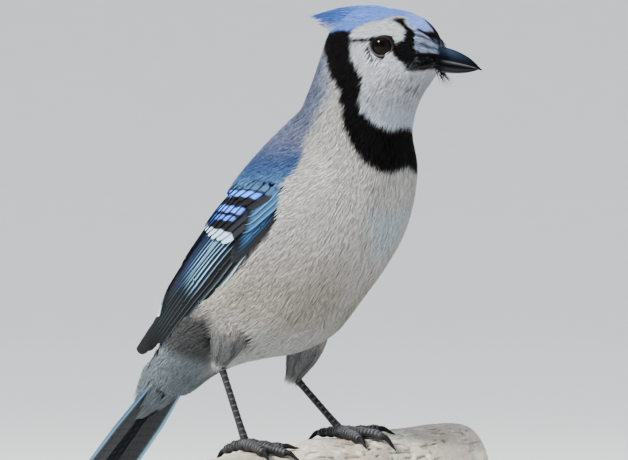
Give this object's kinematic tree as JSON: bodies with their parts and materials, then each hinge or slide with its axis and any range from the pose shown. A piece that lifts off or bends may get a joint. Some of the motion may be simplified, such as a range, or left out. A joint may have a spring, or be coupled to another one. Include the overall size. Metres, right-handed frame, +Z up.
{
  "type": "blue jay model",
  "caption": "Life-size still model of a perched blue jay with folded wings and raised head, gripping a short cut branch held by rods on a flat base.",
  "frame": {"origin": "centre of the underside of the stand's flat base", "axes": "+X the way the bird's body faces, +Y to the bird's left, +Z up, square to the base's underside"},
  "size_m": [0.2087, 0.1606, 0.2575],
  "materials": {
    "face_feathers": "matte",
    "body_feathers": "matte",
    "flight_feathers": "satin",
    "horn": "satin",
    "eye": "gloss",
    "leg_skin": "satin",
    "bark": "rough",
    "stained_wood": "satin",
    "rod_steel": "brushed"
  },
  "bodies": {
    "root": {"bill_lower": "horn", "bill_upper": "horn", "claw_left_1": "horn", "claw_left_2": "horn", "claw_left_3": "horn", "claw_left_4": "horn", "claw_right_1": "horn", "claw_right_2": "horn", "claw_right_3": "horn", "claw_right_4": "horn", "eye_left": "eye", "eye_right": "eye", "foot_left": "leg_skin", "foot_right": "leg_skin", "head": "face_feathers", "neck": "face_feathers", "perch": "bark", "stand_base": "stained_wood", "stand_rod_1": "rod_steel", "stand_rod_2": "rod_steel", "tail": "flight_feathers", "tarsus_left": "leg_skin", "tarsus_right": "leg_skin", "thigh_left": "body_feathers", "thigh_right": "body_feathers", "torso": "body_feathers", "wing_left": "flight_feathers", "wing_right": "flight_feathers"}
  },
  "joints": []
}
